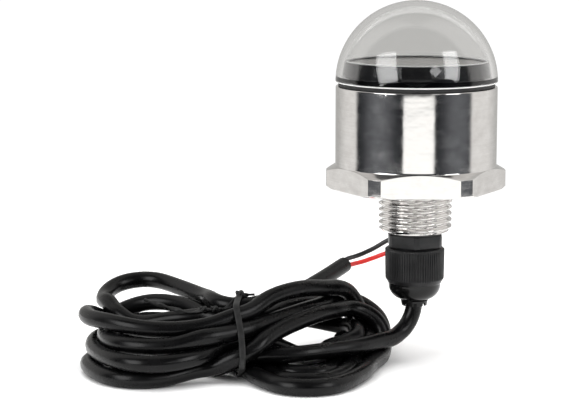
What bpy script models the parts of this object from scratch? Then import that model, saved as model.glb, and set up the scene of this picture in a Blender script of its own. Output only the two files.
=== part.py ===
"""An LED navigation light for a boat: a clear dome on a stainless housing, whose
threaded stem screws into a deck fitting. A cable gland in the stem lets out a two-core
cable, which lies beside the light as a tied hank with its two wires stripped.

Metres, +Z up along the light's axis. The origin is on that axis, in the plane of the
hexagon's underside, which seats on whatever the stem is screwed into.
"""

import math

import bmesh
import bpy
import numpy as np

MM = 0.001

# Driving dimensions.
HEX_ACROSS_FLATS = 46.0 * MM
HEX_TURNED_RADIUS = 25.5 * MM
BARREL_RADIUS = 22.9 * MM
BARREL_TOP = 29.0 * MM
THREAD_RADIUS = 10.48 * MM  # G 1/2, 14 threads to the inch
THREAD_PITCH = 1.814 * MM
THREAD_DEPTH = 1.16 * MM
STEM_LENGTH = 12.5 * MM
DOME_RADIUS = 22.95 * MM
DOME_WALL = 1.6 * MM
CABLE_RADIUS = 2.4 * MM
WIRE_RADIUS = 0.7 * MM
FACE_GAP = 0.2 * MM  # between pieces that rest on each other
RUNNING_GAP = 0.3 * MM  # round a piece that slides or turns

# Worked out from those.
HEX_APOTHEM = HEX_ACROSS_FLATS / 2
CHAMFER_SLOPE = math.tan(math.radians(30))
FLANGE_CORNER_TOP = 5.1 * MM
FLANGE_CORNER_FOOT = 0.6 * MM
DOME_CENTRE_Z = BARREL_TOP + 1.2 * MM
DOME_EDGE_Z = BARREL_TOP + 1.1 * MM

# The bore, from the rim down: lens seat, driver chamber, cable passage, gland thread.
LENS_BORE_RADIUS = 20.6 * MM
SHELF_Z = 19.2 * MM
CHAMBER_RADIUS = 17.5 * MM
CHAMBER_FLOOR_Z = 8.5 * MM
PASSAGE_RADIUS = 4.2 * MM
GLAND_BORE_RADIUS = 6.2 * MM
GLAND_BORE_TOP_Z = -4.6 * MM

# The stack on the shelf.
SPREADER_THICKNESS = 4.0 * MM
BOARD_THICKNESS = 1.6 * MM
SPREADER_Z = SHELF_Z + FACE_GAP
LED_BOARD_Z = SPREADER_Z + SPREADER_THICKNESS + FACE_GAP
LED_BOARD_TOP_Z = LED_BOARD_Z + BOARD_THICKNESS
DRIVER_BOARD_Z = 12.4 * MM
BEZEL_TOP_Z = 35.9 * MM
DIFFUSER_Z = 34.9 * MM
PILLAR_RING_RADIUS = 9.0 * MM
LED_RING_RADIUS = 14.5 * MM
LED_COUNT = 6
PILLAR_COUNT = 3

# The cable gland, hanging from the stem's foot.
GLAND_HEX_TOP_Z = -STEM_LENGTH - 0.8 * MM
NUT_TOP_Z = -17.3 * MM
NUT_RADIUS = 8.55 * MM
NUT_GRIP_END_Z = -26.3 * MM
NUT_CHAMFER_END_Z = -27.6 * MM
NUT_CAP_RADIUS = 7.5 * MM
NUT_MOUTH_Z = -32.5 * MM
NUT_MOUTH_RADIUS = 3.6 * MM
INSERT_FOOT_Z = -34.2 * MM
JACKET_SPLIT_Z = -32.0 * MM  # where the held stretch of the cable ends and the free one starts

# The free cable, on whatever the light's cable comes down to.
FLOOR_Z = -50.0 * MM
HANK_CORNER = 7.0 * MM
WAIST = (-28.4, -9.4, -48.8, -29.6)  # the hank's near side, far side, foot and top at the tie, in mm

SEGMENTS = 48


def clear_scene():
    for obj in list(bpy.data.objects):
        bpy.data.objects.remove(obj, do_unlink=True)


def material(name, colour, roughness, metallic=0.0, transmission=0.0):
    made = bpy.data.materials.new(name)
    made.use_nodes = True
    shader = made.node_tree.nodes["Principled BSDF"]
    shader.inputs["Base Color"].default_value = (*colour, 1.0)
    shader.inputs["Roughness"].default_value = roughness
    shader.inputs["Metallic"].default_value = metallic
    shader.inputs["Transmission Weight"].default_value = transmission
    return made


def make_materials():
    return {
        "steel": material("stainless_steel", (0.62, 0.61, 0.59), 0.14, 1.0),
        "aluminium": material("aluminium", (0.72, 0.72, 0.73), 0.35, 1.0),
        "clear": material("clear_acrylic", (0.93, 0.94, 0.95), 0.03, 0.0, 1.0),
        "diffuser": material("frosted_acrylic", (0.7, 0.68, 0.65), 0.35),
        "rubber": material("black_rubber", (0.02, 0.02, 0.02), 0.6),
        "nylon": material("black_nylon", (0.03, 0.03, 0.032), 0.45),
        "board": material("black_circuit_board", (0.012, 0.014, 0.014), 0.4),
        "led": material("led_phosphor", (0.85, 0.75, 0.3), 0.4),
        "copper": material("tinned_copper", (0.75, 0.7, 0.66), 0.3, 1.0),
        "ferrite": material("ferrite", (0.09, 0.09, 0.1), 0.5),
        "jacket": material("cable_jacket", (0.02, 0.02, 0.021), 0.38),
        "red": material("red_insulation", (0.72, 0.03, 0.02), 0.35),
        "black": material("black_insulation", (0.015, 0.015, 0.016), 0.35),
    }


def add_object(name, mesh, finish=None, location=(0, 0, 0), angle=0.0):
    obj = bpy.data.objects.new(name, mesh)
    bpy.context.scene.collection.objects.link(obj)
    obj.location = location
    obj.rotation_euler = (0, 0, angle)
    if finish is not None:
        mesh.materials.append(finish)
    return obj


def mesh_from(bm, name):
    """The mesh of a closed bmesh, its faces pointing out and its round faces shaded smooth."""
    bmesh.ops.remove_doubles(bm, verts=bm.verts, dist=0.0005 * MM)
    bmesh.ops.recalc_face_normals(bm, faces=bm.faces)
    mesh = bpy.data.meshes.new(name)
    bm.to_mesh(mesh)
    bm.free()
    mesh.shade_smooth()
    mesh.set_sharp_from_angle(angle=math.radians(30))
    return mesh


def turned_bmesh(outline, segments):
    """A turned shape: outline is (radius, z) points, closed on itself unless it starts on the axis."""
    bm = bmesh.new()
    verts = [bm.verts.new((radius, 0.0, z)) for radius, z in outline]
    edges = [bm.edges.new(pair) for pair in zip(verts, verts[1:])]
    if outline[0][0] > 0:
        edges.append(bm.edges.new((verts[-1], verts[0])))
    bmesh.ops.spin(
        bm,
        geom=verts + edges,
        cent=(0, 0, 0),
        axis=(0, 0, 1),
        angle=2 * math.pi,
        steps=segments,
        use_merge=True,
    )
    return bm


def turned(name, outline, finish=None, segments=SEGMENTS, location=(0, 0, 0)):
    return add_object(name, mesh_from(turned_bmesh(outline, segments), name), finish, location)


def disc(name, radius, z_low, z_high, finish=None, segments=SEGMENTS, location=(0, 0, 0)):
    outline = [(0.0, z_high), (radius, z_high), (radius, z_low), (0.0, z_low)]
    return turned(name, outline, finish, segments, location)


def prism(name, sides, apothem, z_low, z_high, angle=0.0, finish=None):
    """An upright prism, with the middle of a flat facing -Y at angle 0."""
    radius = apothem / math.cos(math.pi / sides)
    bm = bmesh.new()
    corners = [2 * math.pi * (index + 0.5) / sides - math.pi / 2 for index in range(sides)]
    foot = bm.faces.new([bm.verts.new((radius * math.cos(a), radius * math.sin(a), z_low)) for a in corners])
    risen = bmesh.ops.extrude_face_region(bm, geom=[foot])
    for item in risen["geom"]:
        if isinstance(item, bmesh.types.BMVert):
            item.co.z = z_high
    return add_object(name, mesh_from(bm, name), finish, angle=angle)


def box_bmesh(size, centre=(0, 0, 0)):
    bm = bmesh.new()
    bmesh.ops.create_cube(bm, size=1.0)
    for vert in bm.verts:
        vert.co = [centre[k] + size[k] * vert.co[k] for k in range(3)]
    return bm


def boxes_round(name, count, radius, size, z_centre):
    """A ring of separate boxes, the first on +X, as one helper."""
    bm = bmesh.new()
    for index in range(count):
        angle = 2 * math.pi * index / count
        made = bmesh.ops.create_cube(bm, size=1.0)
        for vert in made["verts"]:
            x, y = radius + size[0] * vert.co.x, size[1] * vert.co.y
            vert.co = (
                x * math.cos(angle) - y * math.sin(angle),
                x * math.sin(angle) + y * math.cos(angle),
                z_centre + size[2] * vert.co.z,
            )
    return add_object(name, mesh_from(bm, name))


def helper(obj):
    """Marks a cutter or a blank that other pieces use, which isn't a part of its own."""
    obj.hide_render = True
    obj.display_type = "WIRE"
    return obj


def combine(obj, other, operation):
    modifier = obj.modifiers.new(f"{operation.lower()}_{other.name}", "BOOLEAN")
    modifier.operation = operation
    modifier.solver = "EXACT"
    modifier.object = helper(other)
    return obj


def arc(centre, radius, start, end, steps):
    """(r, z) points along a round stretch of an outline; angles in degrees from +r towards +z."""
    angles = np.radians(np.linspace(start, end, steps + 1))
    return [(centre[0] + radius * math.cos(a), centre[1] + radius * math.sin(a)) for a in angles]


def ring_place(radius, index, count, start_degrees=0.0):
    angle = math.radians(start_degrees) + 2 * math.pi * index / count
    return radius * math.cos(angle), radius * math.sin(angle)


def smooth_route(points, spacing):
    """Evenly spaced points along a Catmull-Rom curve through the given ones."""
    given = np.array(points, float)
    padded = np.vstack([2 * given[0] - given[1], given, 2 * given[-1] - given[-2]])
    fine = []
    for a, b, c, d in zip(padded, padded[1:], padded[2:], padded[3:]):
        for t in np.linspace(0, 1, 24, endpoint=False):
            fine.append(
                0.5
                * (
                    2 * b
                    + (c - a) * t
                    + (2 * a - 5 * b + 4 * c - d) * t**2
                    + (3 * b - a - 3 * c + d) * t**3
                )
            )
    fine = np.vstack([fine, given[-1]])
    along = np.concatenate([[0], np.cumsum(np.linalg.norm(np.diff(fine, axis=0), axis=1))])
    at = np.linspace(0, along[-1], max(2, round(along[-1] / spacing) + 1))
    return np.stack([np.interp(at, along, fine[:, k]) for k in range(3)], axis=1)


def tube(name, points, radius, finish, resolution=2, spacing=None):
    """A round wire or cable along a smooth curve through the points, with flat ends."""
    route = smooth_route(points, spacing or 5 * radius)
    curve = bpy.data.curves.new(name, "CURVE")
    curve.dimensions = "3D"
    curve.bevel_depth = radius
    curve.bevel_resolution = resolution
    curve.use_fill_caps = True
    spline = curve.splines.new("POLY")
    spline.points.add(len(route) - 1)
    for point, place in zip(spline.points, route):
        point.co = (*place, 1.0)
    curve.materials.append(finish)
    obj = bpy.data.objects.new(name, curve)
    bpy.context.scene.collection.objects.link(obj)
    return obj


# The housing.


def threaded_stem():
    """The stem's threaded blank: a right-hand helix whose ends fade into the core."""
    columns, rows_per_pitch = 36, 6
    top, foot = 2.0 * MM, -STEM_LENGTH
    core = THREAD_RADIUS - THREAD_DEPTH
    foot_chamfer = 1.0 * MM
    rows = round((top - foot) / THREAD_PITCH * rows_per_pitch)
    bm = bmesh.new()
    rings = []
    for row in range(rows + 1):
        z = foot + (top - foot) * row / rows
        crest_limit = core + max(0.0, z - foot) / foot_chamfer * THREAD_DEPTH
        ring = []
        for column in range(columns):
            angle = 2 * math.pi * column / columns
            wave = 0.5 + 0.5 * math.cos(2 * math.pi * z / THREAD_PITCH - angle)
            fade = min(1.0, max(0.0, -z / THREAD_PITCH))
            radius = min(core + THREAD_DEPTH * wave * fade, crest_limit)
            ring.append(bm.verts.new((radius * math.cos(angle), radius * math.sin(angle), z)))
        rings.append(ring)
    for low, high in zip(rings, rings[1:]):
        for column in range(columns):
            after = (column + 1) % columns
            bm.faces.new((low[column], low[after], high[after], high[column]))
    bm.faces.new(rings[0])
    bm.faces.new(rings[-1])
    return add_object("stem_blank", mesh_from(bm, "stem_blank"))


def hex_flange():
    """The hexagon, its corners turned round and chamfered at 30 degrees above and below."""
    inner = BARREL_RADIUS - 1.5 * MM
    rise = (HEX_TURNED_RADIUS - inner) * CHAMFER_SLOPE
    foot_radius = HEX_TURNED_RADIUS - FLANGE_CORNER_FOOT / CHAMFER_SLOPE
    outline = [
        (0.0, FLANGE_CORNER_TOP + rise),
        (inner, FLANGE_CORNER_TOP + rise),
        (HEX_TURNED_RADIUS, FLANGE_CORNER_TOP),
        (HEX_TURNED_RADIUS, FLANGE_CORNER_FOOT),
        (foot_radius, 0.0),
        (0.0, 0.0),
    ]
    flange = turned("flange_blank", outline, segments=72)
    hexagon = prism("hexagon", 6, HEX_APOTHEM, -2 * MM, 12 * MM)
    return combine(flange, hexagon, "INTERSECT")


def bore_cutter():
    beyond = 2.0 * MM
    outline = [
        (0.0, BARREL_TOP + beyond),
        (LENS_BORE_RADIUS, BARREL_TOP + beyond),
        (LENS_BORE_RADIUS, SHELF_Z),
        (CHAMBER_RADIUS, SHELF_Z),
        (CHAMBER_RADIUS, CHAMBER_FLOOR_Z),
        (PASSAGE_RADIUS, CHAMBER_FLOOR_Z),
        (PASSAGE_RADIUS, GLAND_BORE_TOP_Z),
        (GLAND_BORE_RADIUS, GLAND_BORE_TOP_Z),
        (GLAND_BORE_RADIUS, -STEM_LENGTH - beyond),
        (0.0, -STEM_LENGTH - beyond),
    ]
    return turned("bore", outline)


def relief_cutter():
    """A shallow groove in the hexagon's underside, round the stem, that clears the first thread."""
    inner, outer = THREAD_RADIUS - THREAD_DEPTH + 0.3 * MM, THREAD_RADIUS + 0.5 * MM
    outline = [(inner, 0.5 * MM), (outer, 0.5 * MM), (outer, -0.3 * MM), (inner, -0.3 * MM)]
    return turned("stem_relief", outline)


def make_housing(finish):
    """One piece of hexagon bar: turned barrel, hexagon, threaded stem and stepped bore."""
    rim_chamfer = 0.3 * MM
    outline = [
        (0.0, BARREL_TOP),
        (BARREL_RADIUS - rim_chamfer, BARREL_TOP),
        (BARREL_RADIUS, BARREL_TOP - rim_chamfer),
        (BARREL_RADIUS, 3.0 * MM),
        (0.0, 3.0 * MM),
    ]
    housing = turned("housing", outline, finish, segments=72)
    combine(housing, hex_flange(), "UNION")
    combine(housing, threaded_stem(), "UNION")
    combine(housing, bore_cutter(), "DIFFERENCE")
    combine(housing, relief_cutter(), "DIFFERENCE")


# The lens and its gasket.


def make_lens(finish):
    skirt_radius = LENS_BORE_RADIUS - RUNNING_GAP
    skirt_foot = BARREL_TOP - 3.4 * MM
    skirt_wall = 2.0 * MM
    edge_radius = 0.55 * MM
    inner_foot_angle = 4.0
    outer = arc((0.0, DOME_CENTRE_Z), DOME_RADIUS, 90, 0, 11)
    edge = arc((DOME_RADIUS - edge_radius, DOME_EDGE_Z + edge_radius), edge_radius, -10, -90, 2)
    inner = arc((0.0, DOME_CENTRE_Z), DOME_RADIUS - DOME_WALL, inner_foot_angle, 90, 9)
    skirt = [
        (skirt_radius, DOME_EDGE_Z),
        (skirt_radius, skirt_foot),
        (skirt_radius - skirt_wall, skirt_foot),
        (skirt_radius - skirt_wall, DOME_EDGE_Z + 0.3 * MM),
    ]
    outline = outer[:-1] + [(DOME_RADIUS, DOME_EDGE_Z + edge_radius)] + edge + skirt + inner
    outline[0] = (0.0, outline[0][1])
    outline[-1] = (0.0, outline[-1][1])
    turned("lens_dome", outline, finish, segments=48)


def make_bezel(mats):
    """The black holder inside the lens, from the LED board up over the skirt, and the diffuser in its top."""
    foot = LED_BOARD_TOP_Z + FACE_GAP
    inner, waist, outer, brim, recess = 16.9 * MM, 17.9 * MM, 20.25 * MM, 20.9 * MM, 19.6 * MM
    outline = [
        (inner, foot),
        (inner, DIFFUSER_Z - FACE_GAP),
        (recess, DIFFUSER_Z - FACE_GAP),
        (recess, BEZEL_TOP_Z),
        (outer, BEZEL_TOP_Z),
        (brim, DOME_EDGE_Z + 2.6 * MM),
        (brim, DOME_EDGE_Z + 1.85 * MM),
        (waist, DOME_EDGE_Z + 0.6 * MM),
        (waist, foot),
    ]
    turned("led_bezel", outline, mats["nylon"])
    disc("light_diffuser", recess - RUNNING_GAP, DIFFUSER_Z, BEZEL_TOP_Z - FACE_GAP, mats["diffuser"])


def make_lens_gasket(finish):
    low, high = BARREL_TOP + FACE_GAP / 2, DOME_EDGE_Z - FACE_GAP / 2
    outer, inner = BARREL_RADIUS - 0.75 * MM, LENS_BORE_RADIUS + 0.1 * MM
    turned("lens_gasket", [(inner, high), (outer, high), (outer, low), (inner, low)], finish)


# The light engine: LED board, heat spreader, pillars and driver board.


def pillar_holes(name, radius, z_low, z_high):
    """Three round cutters on the pillars' axes, as one helper."""
    bm = bmesh.new()
    for index in range(PILLAR_COUNT):
        x, y = ring_place(PILLAR_RING_RADIUS, index, PILLAR_COUNT, 90)
        made = bmesh.ops.create_cone(
            bm, cap_ends=True, segments=12, radius1=radius, radius2=radius, depth=z_high - z_low
        )
        for vert in made["verts"]:
            vert.co.x += x
            vert.co.y += y
            vert.co.z += (z_low + z_high) / 2
    return add_object(name, mesh_from(bm, name))


def drilled_disc(name, radius, z_low, z_high, hole_radius, finish):
    """A ring-shaped plate with a wire hole in its middle and a hole for each screw."""
    wire_hole = 3.0 * MM
    outline = [(wire_hole, z_high), (radius, z_high), (radius, z_low), (wire_hole, z_low)]
    plate = turned(name, outline, finish)
    return combine(plate, pillar_holes(name + "_holes", hole_radius, z_low - MM, z_high + MM), "DIFFERENCE")


def make_light_engine(mats):
    spreader_top = SPREADER_Z + SPREADER_THICKNESS
    screw_hole = 1.5 * MM
    drilled_disc("heat_spreader", 20.2 * MM, SPREADER_Z, spreader_top, screw_hole, mats["aluminium"])
    drilled_disc("led_board", 17.8 * MM, LED_BOARD_Z, LED_BOARD_TOP_Z, screw_hole, mats["board"])
    drilled_disc(
        "driver_board", 14.0 * MM, DRIVER_BOARD_Z, DRIVER_BOARD_Z + BOARD_THICKNESS, screw_hole, mats["board"]
    )
    led_size = (3.0 * MM, 3.0 * MM, 1.0 * MM)
    for index in range(LED_COUNT):
        x, y = ring_place(LED_RING_RADIUS, index, LED_COUNT, 30)
        place = (x, y, LED_BOARD_TOP_Z + FACE_GAP + led_size[2] / 2)
        angle = math.atan2(y, x)
        mesh = mesh_from(box_bmesh(led_size), f"led_{index + 1}")
        led = add_object(f"led_{index + 1}", mesh, mats["led"], place, angle)
        bevel = led.modifiers.new("edges", "BEVEL")
        bevel.width = 0.2 * MM
        bevel.segments = 1
    make_pillars(mats)
    make_screws(mats)
    make_driver_parts(mats)


def make_pillars(mats):
    """Threaded pillars that hang the driver board under the heat spreader."""
    low, high = DRIVER_BOARD_Z + BOARD_THICKNESS + FACE_GAP, SPREADER_Z - FACE_GAP
    bore, wall = 1.35 * MM, 2.5 * MM
    web = (low + high) / 2
    outline = [(0.0, low), (wall, low), (wall, high), (bore, high), (bore, web), (0.0, web)]
    for index in range(PILLAR_COUNT):
        x, y = ring_place(PILLAR_RING_RADIUS, index, PILLAR_COUNT, 90)
        turned(f"pillar_{index + 1}", outline, mats["aluminium"], 16, (x, y, 0))


def make_screws(mats):
    """Round-headed screws through the LED board and the spreader into the pillars."""
    shank, head, head_height = 1.1 * MM, 2.1 * MM, 1.3 * MM
    seat = LED_BOARD_TOP_Z + FACE_GAP
    foot = SPREADER_Z - 1.8 * MM
    recess, recess_depth = 0.7 * MM, 0.7 * MM
    outline = [
        (0.0, seat + head_height - recess_depth),
        (recess, seat + head_height - recess_depth),
        (recess, seat + head_height),
        (0.7 * head, seat + head_height),
        (head, seat + 0.5 * head_height),
        (head, seat),
        (shank, seat),
        (shank, foot),
        (0.0, foot),
    ]
    for index in range(PILLAR_COUNT):
        x, y = ring_place(PILLAR_RING_RADIUS, index, PILLAR_COUNT, 90)
        turned(f"board_screw_{index + 1}", outline, mats["steel"], 16, (x, y, 0))


def make_driver_parts(mats):
    """The coil and capacitor on the driver board, and the two leads up to the LED board."""
    top = DRIVER_BOARD_Z + BOARD_THICKNESS + FACE_GAP
    disc("driver_coil", 2.6 * MM, top, top + 3.2 * MM, mats["ferrite"], 16, (8.0 * MM, 5.0 * MM, 0))
    disc("driver_capacitor", 2.0 * MM, top, top + 4.2 * MM, mats["aluminium"], 16, (-8.0 * MM, 5.0 * MM, 0))
    lead_foot, lead_top = top, LED_BOARD_Z + 0.5 * MM
    for name, side in (("red", 1), ("black", -1)):
        x = side * 1.6 * MM
        points = [(x, 0, lead_foot - 1.2 * MM), (x, 0.4 * MM, (lead_foot + lead_top) / 2), (x, 0, lead_top)]
        tube(f"led_lead_{name}", points, 0.6 * MM, mats[name])


# The cable gland.


def make_gland_body(finish):
    """Nylon body: a spigot screwed up into the stem, a hexagon and the neck for the nut."""
    spigot, neck, neck_foot = GLAND_BORE_RADIUS - RUNNING_GAP, 6.7 * MM, -25.5 * MM
    spigot_top = GLAND_BORE_TOP_Z - 1.0 * MM
    outline = [
        (0.0, spigot_top),
        (spigot, spigot_top),
        (spigot, GLAND_HEX_TOP_Z - 1.0 * MM),
        (neck, GLAND_HEX_TOP_Z - 1.0 * MM),
        (neck, neck_foot),
        (0.0, neck_foot),
    ]
    body = turned("gland_body", outline, finish)
    corner_radius, hex_foot = 8.25 * MM, NUT_TOP_Z + RUNNING_GAP
    rounded = disc("gland_hex_blank", corner_radius, hex_foot, GLAND_HEX_TOP_Z)
    corner_angle = math.radians(30)
    hexagon = prism("gland_hexagon", 6, 7.5 * MM, hex_foot - MM, GLAND_HEX_TOP_Z + MM, corner_angle)
    combine(body, combine(rounded, hexagon, "INTERSECT"), "UNION")
    clear_bore, seal_bore, seal_top = CABLE_RADIUS + RUNNING_GAP, 4.9 * MM, -18.0 * MM
    cutter = [
        (0.0, spigot_top + MM),
        (clear_bore, spigot_top + MM),
        (clear_bore, seal_top),
        (seal_bore, seal_top),
        (seal_bore, neck_foot - MM),
        (0.0, neck_foot - MM),
    ]
    combine(body, turned("gland_bore", cutter), "DIFFERENCE")


def make_gland_seals(finish):
    """The washer under the stem's foot, and the bush that the nut squeezes on the cable."""
    high, low = -STEM_LENGTH - FACE_GAP / 2, GLAND_HEX_TOP_Z + FACE_GAP / 2
    turned("gland_washer", [(6.2 * MM, high), (8.0 * MM, high), (8.0 * MM, low), (6.2 * MM, low)], finish)
    bore, wall = CABLE_RADIUS + 0.15 * MM, 4.9 * MM - FACE_GAP
    outline = [
        (bore, -18.4 * MM),
        (wall, -18.4 * MM),
        (wall, -26.0 * MM),
        (wall - 0.9 * MM, -27.4 * MM),
        (bore, -27.4 * MM),
    ]
    turned("gland_seal", outline, finish, 24)


def make_clamp_insert(finish):
    """The insert that grips the cable: a slotted ring below the nut's mouth, and a collar above it."""
    bore, flare, neck = CABLE_RADIUS + RUNNING_GAP, 3.35 * MM, 3.3 * MM
    ring, collar = 3.95 * MM, 4.5 * MM
    ring_top = NUT_MOUTH_Z - 0.2 * MM
    outline = [
        (bore, -28.0 * MM),
        (collar - 1.2 * MM, -28.0 * MM),
        (collar, -29.0 * MM),
        (collar, -29.8 * MM),
        (neck, -30.9 * MM),
        (neck, ring_top),
        (ring, ring_top),
        (ring - 0.3 * MM, INSERT_FOOT_Z),
        (flare, INSERT_FOOT_Z),
        (bore, NUT_MOUTH_Z),
    ]
    insert = turned("clamp_insert", outline, finish, 32)
    slot = (2.0 * MM, 0.9 * MM, 1.4 * MM)
    slots = boxes_round("insert_slots", 8, ring - 0.1 * MM, slot, INSERT_FOOT_Z + 0.3 * MM)
    combine(insert, slots, "DIFFERENCE")


def make_gland_nut(finish):
    """The dome nut: a straight grip, and a smooth round end with a mouth for the cable."""
    thread_radius, cavity_z = 7.0 * MM, -27.2 * MM
    cap_corner = 4.6 * MM
    cap_centre = (NUT_CAP_RADIUS - cap_corner, NUT_MOUTH_Z + cap_corner)
    inner_wall = 1.5 * MM
    outline = [
        (thread_radius, NUT_TOP_Z),
        (NUT_RADIUS - 0.3 * MM, NUT_TOP_Z),
        (NUT_RADIUS, NUT_TOP_Z - 0.3 * MM),
        (NUT_RADIUS - 0.15 * MM, NUT_GRIP_END_Z),
        (NUT_CAP_RADIUS, NUT_CHAMFER_END_Z),
        *arc(cap_centre, cap_corner, 0, -75, 5),
        (NUT_MOUTH_RADIUS, NUT_MOUTH_Z),
        (NUT_MOUTH_RADIUS, NUT_MOUTH_Z + inner_wall),
        (NUT_CAP_RADIUS - 1.6 * MM, -29.2 * MM),
        (NUT_CAP_RADIUS - 1.6 * MM, cavity_z),
        (thread_radius, cavity_z + 0.6 * MM),
    ]
    turned("gland_nut", outline, finish)


# The cable inside the light.


def make_inner_cable(mats):
    jacket_top = 7.0 * MM
    tube("cable_inner", [(0, 0, jacket_top), (0, 0, JACKET_SPLIT_Z)], CABLE_RADIUS, mats["jacket"], 3, 12 * MM)
    core_foot, core_top = jacket_top + RUNNING_GAP, DRIVER_BOARD_Z - FACE_GAP
    for name, side in (("red", 1), ("black", -1)):
        x = side * 1.1 * MM
        points = [(x, 0, core_foot), (1.6 * x, 0, (core_foot + core_top) / 2), (2.4 * x, 0, core_top)]
        tube(f"core_{name}", points, WIRE_RADIUS, mats[name])


# The free cable: the lead, the tied hank and the tail with its two stripped wires.


def make_lead(mats):
    """From inside the clamp insert, over in a bend two cable diameters round, to the hank."""
    route = [
        (0.0, 0.0, -32.3),
        (0.0, 0.0, -33.2),
        (-0.3, -0.2, -35.6),
        (-1.1, -0.8, -38.0),
        (-2.4, -1.7, -40.1),
        (-4.1, -3.0, -41.7),
        (-6.6, -4.9, -42.8),
    ]
    tube("cable_lead", np.array(route) * MM, CABLE_RADIUS, mats["jacket"], 2, 2.5 * MM)


def hank_section(x, near, far, foot, top, steps):
    """One upright section of the hank: a rectangle with well-rounded corners."""
    half_y, half_z = (far - near) / 2, (top - foot) / 2
    corner = min(HANK_CORNER, half_y, half_z)
    ring = []
    for quarter, (side_y, side_z) in enumerate(((1, 1), (-1, 1), (-1, -1), (1, -1))):
        for step in range(steps + 1):
            angle = (quarter + step / steps) * math.pi / 2
            y = (near + far) / 2 + side_y * (half_y - corner) + corner * math.cos(angle)
            z = (foot + top) / 2 + side_z * (half_z - corner) + corner * math.sin(angle)
            ring.append((x, y, z))
    return ring


def loft_bmesh(rings, closed=False):
    """Skins rings of equal length, and caps the two ends unless the last meets the first."""
    bm = bmesh.new()
    loops = [[bm.verts.new(point) for point in ring] for ring in rings]
    following = loops[1:] + loops[:1] if closed else loops[1:]
    for low, high in zip(loops, following):
        for index in range(len(low)):
            after = (index + 1) % len(low)
            bm.faces.new((low[index], low[after], high[after], high[index]))
    if not closed:
        bm.faces.new(loops[0])
        bm.faces.new(loops[-1])
    return bm


def make_hank(mats):
    """The outer shape of the folded cable: two lobes, drawn in at the tie."""
    floor = FLOOR_Z / MM
    stations = [  # along X: near side, far side, foot and top
        (-96.0, -22, 4, floor, -38.0),
        (-91.5, -33, 14, floor, -31.0),
        (-84.0, -39, 20, floor, -28.0),
        (-76.0, -41, 22, floor, -28.0),
        (-66.0, -38, 20, floor, -28.5),
        (-56.0, -31, 3, floor, -29.2),
        (-51.0, *WAIST),
        (-47.0, *WAIST),
        (-42.0, -31, 1, floor, -26.0),
        (-34.0, -42, 12, floor, -24.6),
        (-24.0, -43, 18, floor, -26.0),
        (-15.0, -35, 18, floor, -32.0),
        (-9.3, -22, 15, floor, -39.0),
    ]
    rings = [hank_section(*(value * MM for value in station), 3) for station in stations]
    add_object("cable_hank", mesh_from(loft_bmesh(rings), "cable_hank"), mats["jacket"])
    make_tie(mats, *(value * MM for value in (-49.0, *WAIST)))


def make_tie(mats, x, near, far, foot, top):
    """The tie round the hank's waist: a flat band just clear of it, which touches the floor."""
    width, thickness = 1.8 * MM, 1.0 * MM
    inner = hank_section(x, near - FACE_GAP, far + FACE_GAP, foot - FACE_GAP, top + FACE_GAP, 4)
    reach = FACE_GAP + thickness
    outer = hank_section(x, near - reach, far + reach, foot - reach, top + reach, 4)
    rings = []
    for (_, inner_y, inner_z), (_, outer_y, outer_z) in zip(inner, outer):
        rings.append(
            [
                (x - width / 2, inner_y, inner_z),
                (x + width / 2, inner_y, inner_z),
                (x + width / 2, outer_y, outer_z),
                (x - width / 2, outer_y, outer_z),
            ]
        )
    band = mesh_from(loft_bmesh(rings, closed=True), "cable_tie")
    add_object("cable_tie", band, mats["nylon"])


def make_tail(mats):
    """The end of the cable, rising clear of the hank, and its two cores with tinned ends."""
    tail = [(-29.4, 17.3, -32.2), (-26.6, 21.4, -31.3), (-23.0, 26.6, -30.1), (-19.2, 32.0, -28.7)]
    tube("cable_tail", np.array(tail) * MM, CABLE_RADIUS, mats["jacket"], 2, 5 * MM)
    wires = {
        "black": [
            (-19.5, 32.4, -27.7),
            (-18.5, 33.8, -27.3),
            (-14.4, 35.6, -26.3),
            (-10.0, 35.9, -24.3),
            (-6.4, 35.2, -22.0),
            (-1.5, 33.6, -19.6),
            (3.5, 32.0, -18.2),
            (6.3, 27.8, -17.9),
        ],
        "red": [
            (-18.5, 32.3, -29.4),
            (-17.4, 33.7, -29.1),
            (-13.8, 35.0, -28.4),
            (-10.2, 35.2, -27.2),
            (-6.6, 34.6, -25.7),
            (-1.5, 33.0, -23.7),
            (3.5, 31.4, -22.4),
            (6.5, 26.0, -21.6),
        ],
    }
    for colour, route in wires.items():
        tube(f"wire_{colour}", np.array(route) * MM, WIRE_RADIUS, mats[colour], 2, 2.0 * MM)
        end = np.array(route[-1])
        heading = end - np.array(route[-2])
        heading /= np.linalg.norm(heading)
        tip = [end + heading * along for along in (0.3, 3.5)]
        tube(f"wire_tip_{colour}", np.array(tip) * MM, 0.5 * MM, mats["copper"])


def main():
    clear_scene()
    mats = make_materials()
    make_housing(mats["steel"])
    make_lens(mats["clear"])
    make_lens_gasket(mats["rubber"])
    make_bezel(mats)
    make_light_engine(mats)
    make_gland_body(mats["nylon"])
    make_gland_seals(mats["rubber"])
    make_clamp_insert(mats["nylon"])
    make_gland_nut(mats["nylon"])
    make_inner_cable(mats)
    make_lead(mats)
    make_hank(mats)
    make_tail(mats)


main()
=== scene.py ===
"""Looks for the LED navigation light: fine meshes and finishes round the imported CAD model.

Metres, +Z up, in the CAD's own frame. Outlines are written in millimetres and scaled by MM.
"""

import math

import bmesh
import bpy
import numpy as np
from mathutils import Matrix, Vector


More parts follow.
